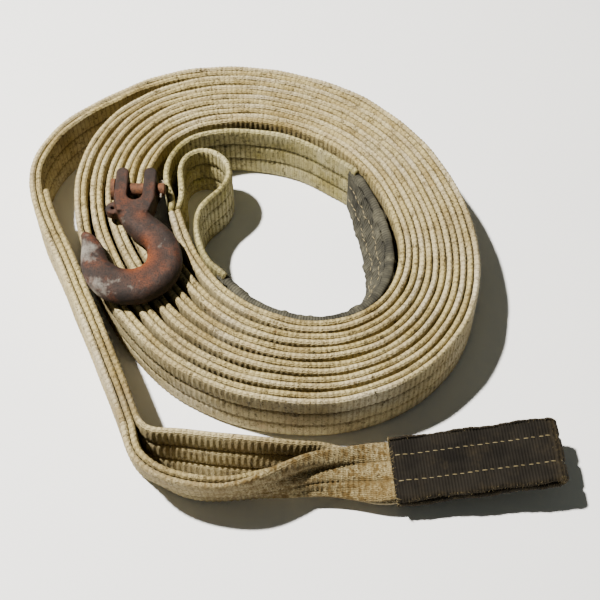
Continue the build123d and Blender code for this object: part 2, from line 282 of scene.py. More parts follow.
def rustMaterial(name, look):
    # Drop-forged steel, oxidised for years: a dark purple-brown scale, orange where it is fresh,
    # and grey where handling has rubbed it bare
    material = newMaterial(name)
    cloud = patches(material, look["patch"], 0.38, 0.66, 5.0, 0.65)
    colour = tinted(material, linear(look["dark"]), look["light"], cloud)
    freshPatch = patches(material, look["freshSize"], 0.5, 0.66, 5.0, 0.7, (4, 0, 2))
    faint = add(material, "Math", {0: freshPatch, 1: 0.35}, operation="MULTIPLY")
    strong = add(material, "Attribute", output="Fac", attribute_name="fresh")
    fresh = add(material, "Math", {0: faint, 1: strong}, operation="MAXIMUM")
    colour = tinted(material, colour, look["orange"], fresh, look["fresh"])
    grain = clouds(material, 1.1, 3.0, 0.75, (0, 3, 0))
    filled = add(material, "MapRange", {"Value": grain, "From Min": 0.34, "From Max": 0.52})
    colour = add(material, "Mix", {0: filled, 6: linear(look["pit"]), 7: colour}, 2, data_type="RGBA")
    scuff = clouds(material, look["bareSize"], 5.0, 0.7, (6, 6, 1))
    handled = add(material, "Attribute", output="Fac", attribute_name="bare")
    wear = add(material, "Math", {0: handled, 1: 0.3, 2: scuff}, operation="MULTIPLY_ADD")
    wearRange = {"Value": wear, "From Min": look["bareLow"], "From Max": look["bareLow"] + 0.22}
    bare = add(material, "MapRange", wearRange)
    colour = tinted(material, colour, "#78736a", bare, 0.75)
    coarse = add(material, "Math", {0: cloud, 1: 0.5}, operation="MULTIPLY")
    lumps = add(material, "Math", {0: grain, 1: 0.7, 2: coarse}, operation="MULTIPLY_ADD")
    roughness = add(material, "MapRange", {"Value": bare, "From Min": 2.6, "From Max": -0.9})
    return finishMaterial(material, colour, lumps, 0.9, 0.0008, roughness, Specular_IOR_Level=0.3)


# deep is the colour of the painted shade in the rib grooves and seams, and of the dark specks; the groove
# setting is how strong the painted shade in the rib grooves is
creamWebbing = webbingMaterial("wovenPolyesterCream", dict(
    light="#cebf90", dark="#a4946a", tint="#a3875f", bleached="#e0dac6", deep="#463a20", dirt="#5f4c2a",
    patch=42.0, stain=26.0, fuzz=1.1, grooveShade=0.35, speckLow=0.13, speckHigh=0.24))
khakiWebbing = webbingMaterial("wovenPolyesterKhaki", dict(
    light="#c6b57e", dark="#978454", tint="#a28f4a", bleached="#d8cfae", deep="#3e331a", dirt="#4c3b1f",
    patch=36.0, stain=22.0, fuzz=1.1, grooveShade=0.4, speckLow=0.13, speckHigh=0.25))
oliveWebbing = webbingMaterial("wovenPolyesterOlive", dict(
    light="#c9bd86", dark="#94884f", tint="#a39a34", bleached="#d8d3b4", deep="#3c351c", dirt="#4c4323",
    patch=30.0, stain=26.0, fuzz=1.1, grooveShade=0.45, speckLow=0.13, speckHigh=0.25))
brownWebbing = webbingMaterial("wovenPolyesterSoiled", dict(
    light="#cebf90", dark="#a4946a", tint="#a3875f", bleached="#d4c9a4", deep="#3c3019", dirt="#51401f",
    patch=36.0, stain=22.0, fuzz=1.3, grooveShade=0.4, speckLow=0.13, speckHigh=0.25))
# deep is the colour of the painted shade in the rib grooves, and the groove setting is how strong it is
greySleeve = sleeveMaterial("tubularNylonGrey", dict(
    light="#46443a", dark="#2b2a25", deep="#171613", worn="#6a6654",
    patch=18.0, grooveShade=0.35, dustSize=9.0, dust=0.3))
darkSleeve = sleeveMaterial("tubularNylonDark", dict(
    light="#1f1c17", dark="#13110e", deep="#080706", worn="#564a33",
    patch=24.0, grooveShade=0.35, dustSize=16.0, dust=0.1))
tanThread = threadMaterial("bondedThreadTan", "#8f8059")
forgedRust = rustMaterial("forgedSteelRusted", dict(
    dark="#1b120d", light="#35231a", orange="#7d3c10", pit="#100a07",
    patch=12.0, freshSize=16.0, fresh=0.75, bareSize=12.0, bareLow=0.62))
pinRust = rustMaterial("turnedSteelRusted", dict(  # mild steel bar, turned smooth: lighter, evener rust
    dark="#42291a", light="#6e4426", orange="#8f4c1f", pit="#2a190f",
    patch=9.0, freshSize=10.0, fresh=0.7, bareSize=14.0, bareLow=0.7))
wireSteel = rustMaterial("drawnWireDull", dict(  # drawn steel wire, still pale under a dull skin
    dark="#6a5c4c", light="#a39a8b", orange="#8a5a34", pit="#4a3c30",
    patch=4.0, freshSize=7.0, fresh=0.4, bareSize=6.0, bareLow=0.5))
print("materials made")

webbing = dict(
    width=50.0, ply=4.2, gap=0.7, rib=4.2, ribDepth=0.28, seamShare=(1 / 3, 2 / 3), seamDepth=0.95,
    seamWidth=0.019, bulge=0.3, step=1.05)
pairOffset = (webbing["ply"] + webbing["gap"]) / 2
tailOffset = -3 * pairOffset
roll = dict(
    axis=(-18.0, 35.0), meanRadius=84.0,
    oval=[(1, 4.1, 10.3), (2, -2.1, -15.1), (3, 0.8, 1.4), (4, -2.1, -0.8)],  # order, cosine, sine
    pitch=11.45, pitchCosine=-1.45, pitchSine=-1.1, firstAngle=215, lastAngle=2235, angleStep=20,
    start=[(-96, 49), (-91, 34), (-84, 16)])
lead = dict(
    points=[
        (-61, 197), (-101, 191.5), (-138, 175), (-170, 153), (-194, 127), (-206, 94),
        (-201, 60), (-184, 20), (-163, -27), (-142, -74), (-125, -115), (-118, -132)],
    tailStart=0.58)
innerEye = dict(
    upperLeg=[
        (-99, 63), (-103, 76), (-104, 93), (-99, 109), (-89, 121), (-72, 129), (-45, 130.5),
        (-20, 127), (4, 118), (24, 105)],
    fold=[
        (-66, 0.5), (-75.5, 19), (-78.5, 35), (-77, 49), (-71, 60), (-62, 70), (-56, 82),
        (-57, 96), (-66, 107), (-79, 110), (-89, 104), (-93, 92), (-92, 77), (-91.5, 63)],
    wall=(405, 225), inset=10.5, forkGap=2.0)


def coilPoints(angles, inset=0.0):
    # Mean radius, waves of the oval, and a pitch for each turn made
    a = np.radians(np.asarray(angles, float))
    oval = sum(c * np.cos(n * a) + s * np.sin(n * a) for n, c, s in roll["oval"])
    pitch = roll["pitch"] + roll["pitchCosine"] * np.cos(a) + roll["pitchSine"] * np.sin(a)
    r = roll["meanRadius"] + oval + pitch * np.degrees(a) / 360 - inset
    return np.stack((roll["axis"][0] + r * np.cos(a), roll["axis"][1] + r * np.sin(a)), -1)


rollAngles = np.arange(roll["firstAngle"], roll["lastAngle"] + 1, roll["angleStep"])
strapPath = smoothPath([*roll["start"], *coilPoints(rollAngles), *lead["points"]], webbing["step"])
wallAngles = np.arange(innerEye["wall"][0], innerEye["wall"][1] - 1, -roll["angleStep"])


forkEnds = [strapPath[1][0] + rightOf(strapPath[2][:1])[0] * side * pairOffset for side in (1, -1)]
eyeWall = coilPoints(wallAngles, innerEye["inset"])
eyePoints = [forkEnds[0], *innerEye["upperLeg"], *eyeWall, *innerEye["fold"], forkEnds[1]]
eyePath = smoothPath(eyePoints, webbing["step"])


def distanceNear(path, point):
    # The distance along a path at its place nearest to a point
    return path[0][np.argmin(np.linalg.norm(path[1] - np.asarray(point), axis=1))]


leadStart = distanceNear(strapPath, coilPoints([roll["lastAngle"]])[0])
strapEnd = strapPath[0][-1]
lastTurn = distanceNear(strapPath, coilPoints([roll["lastAngle"] - 380])[0])
tailStart = leadStart + (strapEnd - leadStart) * lead["tailStart"]
sleeveStart = distanceNear(eyePath, coilPoints([innerEye["wall"][0]], innerEye["inset"])[0])
sleeveEnd = distanceNear(eyePath, coilPoints([innerEye["wall"][1]], innerEye["inset"])[0])


def plyProfile(width, thickness, heights):
    # Half-round edges joined by two flat faces, from the bottom up one face and down the other.
    # Gives across, height, how flat the place is, and which face it is on: -1, 0 or 1.
    r = thickness / 2
    top = np.radians(np.arange(180, -1, -30))
    bottom = np.radians(np.array([-45, -90, -135]))
    up = np.array(heights) * width
    x = np.concatenate((np.full(len(up), -r), r * np.cos(top), np.full(len(up), r), r * np.cos(bottom)))
    z = np.concatenate((up, width - r + r * np.sin(top), up[::-1], r + r * np.sin(bottom)))
    flat = np.concatenate((np.ones(len(up)), np.abs(np.cos(top)) * 0.3, np.ones(len(up)), np.zeros(3)))
    return x, z, flat, np.where(np.abs(x) > 1e-6, np.sign(x), 0.0)


coarseHeights = (0.07, 0.2, 0.33, 0.5, 0.67, 0.8, 0.93)
fineHeights = (
    0.06, 0.14, 0.23, 0.3, 0.325, 0.342, 0.37, 0.43, 0.5, 0.57, 0.63, 0.658, 0.675, 0.7, 0.77, 0.86, 0.94)


def seamLine(tall):
    # 1 on the two seams, falling off beside them
    return sum(np.exp(-(((tall - share) / webbing["seamWidth"]) ** 2)) for share in webbing["seamShare"])


def quilting(tall):
    # Three bands that swell a little between the seams, which pull the face in
    swell = webbing["bulge"] * np.abs(np.sin(3 * np.pi * tall)) ** 0.7
    return swell - webbing["seamDepth"] * seamLine(tall)


def plyGrid(path, offset, heights, seed, shown=0):
    # Places = path + right * (offset + across) + up * height. On each face ribs stand out as a
    # cosine along the strap, seams sink in, and the edges bead up as loops; the whole ply wanders.
    # The face away from the shown side lies against the next ply and stays flat.
    s, place, along = path
    width = webbing["width"]
    x, z, flat, side = plyProfile(width, webbing["ply"], heights)
    rib = np.cos(2 * np.pi * s / webbing["rib"])[:, None]
    swell = 1 + 0.07 * waves(s, (31, 57, 13), seed)[:, None]
    free = np.where(side * shown < 0, 0.15, 1.0)
    across = x * swell + side * free * flat * (webbing["ribDepth"] * rib + quilting(z / width))
    edge = (z > width * 0.955) * (1 - flat)
    beads = np.sin(2 * np.pi * s / (webbing["rib"] * 0.75))[:, None] * np.where(x >= 0, 1, -1)
    height = z + edge * 0.28 * beads + z / width * 0.8 * waves(s, (83, 149, 37), seed + 1)[:, None]
    across = across + edge * 0.22 * beads + offset + 0.35 * waves(s, (61, 118, 240), 5)[:, None]
    plan = place[:, None] + rightOf(along)[:, None] * across[..., None]
    return np.concatenate((plan, np.maximum(height, 0.02)[..., None]), -1), s, z


def plyAttributes(s, z, shape, dirt, rust):
    # Rib counts along the strap, filling yarns across it, the two seam lines that carry painted shade in
    # their grooves, and how dirty and rusty each place is
    one = np.ones(shape)
    return {
        "rib": (s / webbing["rib"])[:, None] * one,
        "across": (z / 1.6)[None, :] * one,
        "seam": seamLine(z / webbing["width"]) * one,
        "dirt": np.asarray(dirt) * one,
        "rust": np.asarray(rust) * one}


def webbingPiece(name, path, offset, heights, seed, material, node, dirt, rust, shown=0):
    # A ply on its edge along a path, with its material and the CAD node it stands for
    grid, s, z = plyGrid(path, offset, heights, seed, shown)
    piece = gridObject(name, grid, plyAttributes(s, z, grid.shape[:2], dirt, rust))
    piece.data.materials.append(material)
    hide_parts(node)


floorMaterial = newMaterial("paintedBoardPale")  # matt white board: nothing but a faint tone
floorTone = tinted(floorMaterial, linear("#dfe0e0"), "#e9e9e8", clouds(floorMaterial, 300.0))
finishMaterial(floorMaterial, floorTone, clouds(floorMaterial, 4.0), 0.02, 0.0005, 0.8)
floorSize = dict(half=6.0, drop=0.0004)  # metres
floorCorners = [(x * floorSize["half"], y * floorSize["half"], -floorSize["drop"])
                for x, y in ((-1, -1), (1, -1), (1, 1), (-1, 1))]
floor = bpy.data.objects.new("floor", bpy.data.meshes.new("floor"))
floor.data.from_pydata(floorCorners, [], [(0, 1, 2, 3)])
floor.data.materials.append(floorMaterial)
bpy.context.scene.collection.objects.link(floor)

studio = dict(
    focal=73.7, sensor=36.0, elevation=56.0, distance=0.950,
    keyFrom=(-0.49, 0.1, 1.0), keyDistance=2.2, keySize=0.1, keyPower=198.0, keyColour=(1.0, 0.965, 0.91),
    fill=0.1, fillColour=(0.95, 1.0, 0.88, 1.0))
aim = np.array([shift[0], shift[1], 0.0]) / 1000


def pointedAt(obj, place, target):
    # Turns the object's -Z from its place to the target
    obj.location = place
    obj.rotation_euler = (Vector(target) - Vector(place)).to_track_quat("-Z", "Y").to_euler()
    bpy.context.scene.collection.objects.link(obj)


camera = bpy.data.objects.new("camera", bpy.data.cameras.new("camera"))
camera.data.lens = studio["focal"]
camera.data.sensor_width = studio["sensor"]
rise = np.radians(studio["elevation"])
pointedAt(camera, aim + studio["distance"] * np.array([0, -np.cos(rise), np.sin(rise)]), aim)
bpy.context.scene.camera = camera
key = bpy.data.objects.new("keyLight", bpy.data.lights.new("keyLight", "AREA"))
key.data.shape = "DISK"
key.data.size = studio["keySize"]
key.data.energy = studio["keyPower"]
key.data.color = studio["keyColour"]
keyWay = np.array(studio["keyFrom"]) / np.linalg.norm(studio["keyFrom"])
pointedAt(key, aim + keyWay * studio["keyDistance"], aim)
world = bpy.data.worlds.new("studio")
world.use_nodes = True
background = world.node_tree.nodes["Background"]
background.inputs[0].default_value = studio["fillColour"]
background.inputs[1].default_value = studio["fill"]
bpy.context.scene.world = world
print("floor, light and camera set")

rollCore = cut(strapPath, 0, lastTurn)
rollLast = cut(strapPath, lastTurn, leadStart)
leadPart = cut(strapPath, leadStart, strapEnd)
tailPart = cut(strapPath, tailStart, strapEnd)


def dirtNear(path, centre, reach):
    # 1 at the centre, fading to 0 at reach millimetres away
    return np.clip(1 - np.linalg.norm(path[1] - np.array(centre), axis=1) / reach, 0, 1)[:, None]


plies = {  # layers outwards from the pair's middle: seed, webbing, slot
    1: (3, creamWebbing, "webbing_cream"),
    -1: (8, khakiWebbing, "webbing_khaki"),
    -3: (13, khakiWebbing, "webbing_khaki")}
marks = dict(rustPlace=(-120, 30), rustReach=75, grimePlace=(-118, -132), grimeReach=60)
for name, path, layer, heights, node in (
    ("rollOuterPly", rollCore, 1, coarseHeights, "coil_outer_ply"),
    ("rollOuterPlyLastTurn", rollLast, 1, fineHeights, "coil_outer_ply"),
    ("rollInnerPly", rollCore, -1, coarseHeights, "coil_inner_ply"),
    ("rollInnerPlyLastTurn", rollLast, -1, coarseHeights, "coil_inner_ply"),
    ("leadOuterPly", leadPart, 1, fineHeights, "lead_outer_ply"),
    ("leadInnerPly", leadPart, -1, fineHeights, "lead_inner_ply"),
    ("tailPly", tailPart, -3, fineHeights, "tail_ply"),
):
    seed, material, slotName = plies[layer]
    rusty = 0.2 + 0.8 * dirtNear(path, marks["rustPlace"], marks["rustReach"])
    grime = 0.12 + 0.5 * dirtNear(path, marks["grimePlace"], marks["grimeReach"])
    offset, shown = layer * pairOffset, np.sign(layer)
    webbingPiece(name, path, offset, heights, seed, material, node, grime, rusty, shown)
print("roll and lead woven")

upperLeg = cut(eyePath, innerEye["forkGap"], sleeveStart + 7)
lowerLeg = cut(eyePath, sleeveEnd - 7, eyePath[0][-1] - innerEye["forkGap"])
webbingPiece(
    "innerEyeUpperLeg", upperLeg, 0.0, fineHeights, 21, oliveWebbing,
    "inner_eye_upper_leg", 0.1, 0.1)
webbingPiece(
    "innerEyeLowerLeg", lowerLeg, 0.0, fineHeights, 23, oliveWebbing,
    "inner_eye_lower_leg", 0.1 + 0.8 * dirtNear(lowerLeg, (-60, -15), 45), 0.1)

sleeves = dict(wall=1.3, room=0.2, rib=2.1, pocket=14.0)
innerShape = dict(
    lean=15.0, low=3.0, lift=5.0, facePoints=17, seams=(0.31, 0.69), seamWidth=0.02, creaseDepth=0.75,
    creases=[(0.9, 47, 1.6, 0), (0.7, 19, -2.3, 0.3), (0.5, 11, 3.1, 0.1), (0.35, 6.5, -1.1, 0.6)])


def withPockets(s):
    # Distances along a sleeve that run in at one mouth, out through the other end, and in again;
    # with them the share of the tube's size at each, which is smaller inside the pockets
    p = sleeves["pocket"]
    run = np.concatenate((s[0] + np.array([p, p / 2, 0.4]), s, s[-1] - np.array([0.4, p / 2, p])))
    size = np.concatenate(([0.66, 0.66, 0.8], np.ones(len(s)), [0.8, 0.66, 0.66]))
    return run, size


def innerSleeve():
    # A band like the webbing's, swollen and creased, its lower edge leaning into the eye
    s, place, along = cut(eyePath, sleeveStart, sleeveEnd)
    run, size = withPockets(s)
    place = np.stack([np.interp(run, s, place[:, n]) for n in range(2)], -1)
    along = np.stack([np.interp(run, s, along[:, n]) for n in range(2)], -1)
    share = ((run - s[0]) / (s[-1] - s[0])).clip(0, 1)
    lean = innerShape["lean"] * np.sin(np.pi * np.clip(share * 1.5, 0, 1)) ** 0.8
    low = innerShape["low"] + innerShape["lift"] * np.sin(np.pi * share)
    thick = webbing["ply"] + 2 * (sleeves["wall"] + sleeves["room"])
    faceHeights = np.linspace(0.06, 0.94, innerShape["facePoints"])
    x, z, flat, side = plyProfile(webbing["width"] - 0.4, thick, faceHeights)
    tall = z / webbing["width"]
    u = run[:, None]
    crease = sum(
        deep * np.sin(2 * np.pi * (u / wave + tall * tilt + phase))
        for deep, wave, tilt, phase in innerShape["creases"])
    free = np.clip((np.minimum(u - s[0], s[-1] - u) - 6) / 12, 0, 1)
    seam = sum(np.exp(-(((tall - line) / innerShape["seamWidth"]) ** 2)) for line in innerShape["seams"])
    swell = side * flat * free * (innerShape["creaseDepth"] * crease - seam)
    across = (x + swell) * size[:, None] + lean[:, None] * (1 - tall)
    middle = webbing["width"] / 2
    height = (middle + (z - middle) * (0.5 + size[:, None] / 2)) * (1 - low[:, None] / webbing["width"])
    plan = place[:, None] + rightOf(along)[:, None] * across[..., None]
    grid = np.concatenate((plan, np.maximum(height, 0.02)[..., None]), -1)
    ribs = (run / sleeves["rib"])[:, None] * np.ones(grid.shape[1])
    worn = np.clip(crease / 3, 0, 1) * 0.8
    piece = gridObject("innerEyeSleeve", grid, {"rib": ribs, "worn": worn})
    piece.data.materials.append(greySleeve)
    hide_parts("inner_eye_sleeve", "inner_eye_bight")
    return grid[3:-3], s


sleeveGrid, sleeveRun = innerSleeve()
print("inner eye made")

outerEye = dict(
    mouth=(63.9, -155.4, 16.5), tip=(181.0, -144.6, 30.0), lean=87.0, width=45.0, radius=0.6,
    frontLeg=[  # x, y, z, lean in degrees, width
        (-110.7, -153, 24.6, -9, 49), (-98.5, -162, 24.5, -15, 49), (-83.5, -169.5, 24.5, -14, 49),
        (-62.4, -173.7, 24.6, -14, 49), (-34.8, -172.2, 25.9, -11, 47.6), (-5.2, -164.8, 27.9, 18, 37),
        (14.5, -159.3, 24.1, 43, 34.4), (35.1, -157.2, 20.4, 65, 37.4)],
    backLeg=[
        (-104, -138, 25, 4, 50), (-88, -142.3, 25, 9, 50), (-60, -146.6, 25, 12, 50),
        (-32, -149, 24.8, 12, 49), (-15, -149, 23.2, 14, 44), (0, -149.5, 20.6, 24, 38),
        (15, -149.5, 15.8, 43, 34.5), (25.5, -152.4, 14.3, 55, 35), (45, -154.3, 11.8, 74, 39)])
mouth = np.array(outerEye["mouth"])
tip = np.array(outerEye["tip"])
bightAlong = (tip - mouth) / np.linalg.norm(tip - mouth)
bightInner = outerEye["radius"] + sleeves["wall"] + sleeves["room"]
bightOuter = bightInner + webbing["ply"] + sleeves["room"] + sleeves["wall"]
armOffset = bightInner + webbing["ply"] / 2
forkPlace = np.array([*strapPath[1][-1], webbing["width"] / 2])
forkAlong = np.array([*strapPath[2][-1], 0.0])


def crossFrame(along, lean):
    # Width direction = up * cos(lean) + back * sin(lean); the outer face's normal is along x width
    along = along / np.linalg.norm(along, axis=-1)[..., None]
    back = np.stack((-along[..., 1], along[..., 0], np.zeros_like(along[..., 0])), -1)
    back = back / np.linalg.norm(back, axis=-1)[..., None]
    up = np.cross(along, back)
    turn = np.radians(lean)[..., None]
    wide = up * np.cos(turn) + back * np.sin(turn)
    return wide, np.cross(along, wide)


def legPath(rows, startOffset, endOffset, step):
    # Smooth places, leans and widths from the fork to a little way inside the sleeve
    _, startFace = crossFrame(forkAlong[None], np.array([0.0]))
    _, endFace = crossFrame(bightAlong[None], np.array([outerEye["lean"]]))
    start = forkPlace + startFace[0] * startOffset
    finish = mouth + endFace[0] * endOffset
    inside = finish + bightAlong * sleeves["pocket"] * 0.5
    places = np.array([start - forkAlong * 14, start, *[r[:3] for r in rows], finish, inside])
    leans = np.array([0, 0, *[r[3] for r in rows], outerEye["lean"], outerEye["lean"]], float)
    full, snug = webbing["width"], outerEye["width"]
    widths = np.array([full, full, *[r[4] for r in rows], snug - 2, snug - 4], float)
    table = np.concatenate((places, leans[:, None] * 0.5, widths[:, None] * 0.5), 1)
    s, all5, _ = smoothPath(table, step)
    along = np.gradient(all5[:, :3], axis=0)
    keep = np.linalg.norm(all5[:, :3] - places[1], axis=1).argmin()
    return s[keep:], all5[keep:, :3], along[keep:], all5[keep:, 3] * 2, all5[keep:, 4] * 2


def legPiece(
        name, rows, startOffset, endOffset, layer, pleat, seed, material, node, dirt, stop=None):
    # A ply carried along the leg; pleats sink the face as valleys across its width
    s, place, along, lean, width = legPath(rows, startOffset, endOffset, webbing["step"])
    if stop is not None:
        keep = place[:, 0] <= stop
        s, place, along, lean, width = s[keep], place[keep], along[keep], lean[keep], width[keep]
    wide, face = crossFrame(along, lean)
    x, z, flat, side = plyProfile(webbing["width"], webbing["ply"], fineHeights)
    tall = z / webbing["width"]
    rib = np.cos(2 * np.pi * s / webbing["rib"])[:, None]
    across = x + side * flat * (webbing["ribDepth"] * rib + quilting(tall))
    loss = np.clip(1 - width / webbing["width"], 0, 1)[:, None]
    loss = loss * np.clip((s[-1] - s[:, None] - 12) / 25, 0, 1)
    across = across + pleat(tall) * loss + layer
    across = across + 0.3 * waves(s, (43, 71, 110), seed)[:, None]
    spread = (tall - 0.5) * width[:, None] * 0.985
    if stop is not None:
        fade = np.clip((place[:, 0] + 60) / (stop + 60), 0, 1)[:, None]
        spread = spread * (1 - 0.4 * fade) - 7.0 * fade
    grid = place[:, None] + wide[:, None] * spread[..., None] + face[:, None] * across[..., None]
    grid[..., 2] = np.maximum(grid[..., 2], 0.05)
    attributes = plyAttributes(s, z, grid.shape[:2], dirt(s / s[-1])[:, None], 0.1)
    piece = gridObject(name, grid, attributes)
    piece.data.materials.append(material)
    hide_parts(node)


def frontPleat(tall):
    # A deep valley two thirds of the way up, a shallow one at one third, and full rolls between
    rolls = 6 * np.exp(-(((tall - 0.82) / 0.15) ** 2)) + 5 * np.exp(-(((tall - 0.36) / 0.17) ** 2))
    return rolls - 9 * np.exp(-(((tall - 0.6) / 0.06) ** 2)) - 5 * np.exp(-(((tall - 0.16) / 0.06) ** 2))


def backPleat(tall):
    # One roll below and one valley above, both bell curves across the width
    return 5 * np.exp(-(((tall - 0.3) / 0.2) ** 2)) - 8 * np.exp(-(((tall - 0.62) / 0.08) ** 2))


legPiece(
    "outerEyeFrontLeg", outerEye["frontLeg"], pairOffset, armOffset, 0.0, frontPleat, 31, brownWebbing,
    "outer_eye_front_leg", lambda u: np.clip(0.14 + 1.7 * u, 0, 1.05))
legPiece(
    "outerEyeSecondLayer", outerEye["frontLeg"], pairOffset, armOffset, -2 * pairOffset, frontPleat, 31,
    khakiWebbing, "outer_eye_second_layer", lambda u: 0.2 + 0.6 * u**2, stop=14.5)
legPiece(
    "outerEyeBackLeg", outerEye["backLeg"], tailOffset, -armOffset, 0.0, backPleat, 37, creamWebbing,
    "outer_eye_back_leg", lambda u: 0.15 + 0.6 * u**2)


outerShape = dict(
    facePoints=19, seams=(0.3, 0.7), seamWidth=0.03, seamDepth=1.3, puckerPitch=5.2, ribDepth=0.1,
    swells=[(0.45, 61, 0.7), (0.35, 23, -1.3)], edgeWander=[(0.5, 41), (0.18, 11), (0.1, 4.1)])


def outerSleeve():
    # A flattened tube carried along a hairpin: out along the upper arm, round the tip, and back
    length = np.linalg.norm(tip - mouth) - bightOuter
    radius = armOffset
    bend = np.pi * radius
    s = np.arange(0, 2 * length + bend, sleeves["rib"] / 4)
    run, size = withPockets(s)
    turn = np.clip((run - length) / radius, 0, np.pi)
    beyond = np.where(run < length + bend, length + radius * np.sin(turn), 2 * length + bend - run)
    out = np.where(run < length, run, beyond)
    level = radius * np.cos(turn)
    wide, face = crossFrame(bightAlong[None], np.array([outerEye["lean"]]))
    thick = webbing["ply"] + 2 * (sleeves["wall"] + sleeves["room"]) - 0.6
    width = outerEye["width"] + 2 * (sleeves["wall"] + sleeves["room"])
    x, z, flat, side = plyProfile(width, thick, np.linspace(0.05, 0.95, outerShape["facePoints"]))
    tall = z / width
    outward = np.where(x > 0, 1.0, 0.25)
    u = run[:, None]
    seam = sum(np.exp(-(((tall - line) / outerShape["seamWidth"]) ** 2)) for line in outerShape["seams"])
    clear = np.clip((np.minimum(u, 2 * length + bend - u) - 8) / 8, 0, 1)
    pucker = (1 + 0.25 * np.sin(2 * np.pi * u / outerShape["puckerPitch"])) * clear
    swell = sum(
        deep * np.sin(2 * np.pi * (u / wave + tall * tilt)) for deep, wave, tilt in outerShape["swells"])
    rib = outerShape["ribDepth"] * np.cos(2 * np.pi * u / sleeves["rib"])
    relief = 0.5 * swell + rib - outerShape["seamDepth"] * seam * pucker
    across = (x + side * flat * relief * outward) * size[:, None]
    wander = sum(deep * np.sin(2 * np.pi * u / wave) for deep, wave in outerShape["edgeWander"])
    spread = (tall - 0.5) * width * (0.5 + size[:, None] / 2)
    spread = spread + wander * (np.abs(tall - 0.5) > 0.44) * np.sign(tall - 0.5)
    normal = np.stack((np.sin(turn), np.cos(turn)), -1)
    centre = mouth + bightAlong * out[:, None] + face * level[:, None]
    push = bightAlong * normal[:, :1] + face * normal[:, 1:]
    grid = centre[:, None] + wide[:, None] * spread[..., None] + push[:, None] * across[..., None]
    edge = np.clip((np.abs(tall - 0.5) - 0.44) / 0.06, 0, 1)[None] * np.ones_like(u)
    tipWear = np.exp(-(((u - length - bend / 2) / 5) ** 2)) * np.ones_like(tall)
    worn = np.clip(0.35 * edge + 0.5 * tipWear, 0, 1)
    ribs = (run / sleeves["rib"])[:, None] * np.ones(grid.shape[1])
    piece = gridObject("outerEyeSleeve", grid, {"rib": ribs, "worn": worn})
    piece.data.materials.append(darkSleeve)
    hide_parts("outer_eye_sleeve", "outer_eye_bight")
    return grid[3:-3], s


outerRows, outerRun = outerSleeve()
print("outer eye made")


def stitchRow(name, centres, ways, normals, size, material, node):
    # One mesh of short threads. Each is an ellipsoid of length, width and height along its way: four
    # rings of six points and a point at each pole.
    a = np.linspace(0, np.pi, 6)[1:-1, None]
    b = np.linspace(0, 2 * np.pi, 7)[None, :-1]
    rings = np.stack((-np.cos(a) + 0 * b, np.sin(a) * np.cos(b), np.sin(a) * np.sin(b)), -1)
    shape = np.concatenate((rings.reshape(-1, 3), [[-1, 0, 0], [1, 0, 0]])) * np.array(size) / 2
    side = np.cross(normals, ways)
    world = centres[:, None] + ways[:, None] * shape[:, :1]
    world = world + side[:, None] * shape[:, 1:2] + normals[:, None] * shape[:, 2:]
    i, j = np.meshgrid(np.arange(3), np.arange(6), indexing="ij")
    k = (j + 1) % 6
    quads = np.stack((i * 6 + k, (i + 1) * 6 + k, (i + 1) * 6 + j, i * 6 + j), -1).reshape(-1, 4)
    j, k, pole = j[0], k[0], np.full(6, 24)
    tips = np.concatenate((np.stack((pole, k, j), -1), np.stack((18 + k, pole + 1, 18 + j), -1)))
    first = np.arange(len(centres))[:, None, None] * len(shape)
    quads = (quads + first).reshape(-1)
    tips = (tips + first).reshape(-1)
    starts = [np.arange(0, len(quads), 4), len(quads) + np.arange(0, len(tips), 3)]
    piece = meshObject(name, toFrame(world.reshape(-1, 3)), [quads, tips], starts)
    piece.data.materials.append(material)
    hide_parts(node)


def rowOnGrid(rows, s, column, pitch, lift):
    # Stitch places every pitch along one column of a sleeve's grid, lifted off its face
    at = np.arange(pitch, s[-1] - s[0] - pitch / 2, pitch) + s[0]
    line = rows[:, column]
    around = rows[:, [column - 1, column + 1]]
    ways = np.gradient(line, axis=0)
    ways = ways / np.linalg.norm(ways, axis=1)[:, None]
    normals = np.cross(ways, around[:, 1] - around[:, 0])
    normals = normals / np.linalg.norm(normals, axis=1)[:, None]
    out = line - rows.mean(axis=1)
    normals = normals * np.sign(np.einsum("ij,ij->i", normals, out))[:, None]
    pick = np.searchsorted(s, at).clip(0, len(s) - 1)
    return line[pick] + normals[pick] * lift, ways[pick], normals[pick]


def sleeveStitches(name, rows, s, look, node):
    # Two rows of stitches on a sleeve's outer face, whose columns run down from its top edge after
    # those of the inner face and the rounded edge
    columns = [look["facePoints"] + 7 + n for n in look["lines"]]
    found = [rowOnGrid(rows, s, column, look["pitch"], look["lift"]) for column in columns]
    centres, ways, normals = (np.concatenate([f[n] for f in found]) for n in range(3))
    stitchRow(name, centres, ways, normals, look["size"], tanThread, node)


outerStitch = dict(
    facePoints=outerShape["facePoints"], lines=(5, 13), pitch=5.2, size=(4.0, 0.8, 0.7), lift=0.12)
innerStitch = dict(
    facePoints=innerShape["facePoints"], lines=(5, 11), pitch=5.2, size=(3.9, 0.8, 0.7), lift=0.1)
sleeveStitches("outerSleeveStitches", outerRows, outerRun, outerStitch, "outer_sleeve_stitching")
sleeveStitches("innerSleeveStitches", sleeveGrid, sleeveRun, innerStitch, "inner_sleeve_stitching")
print("stitched")

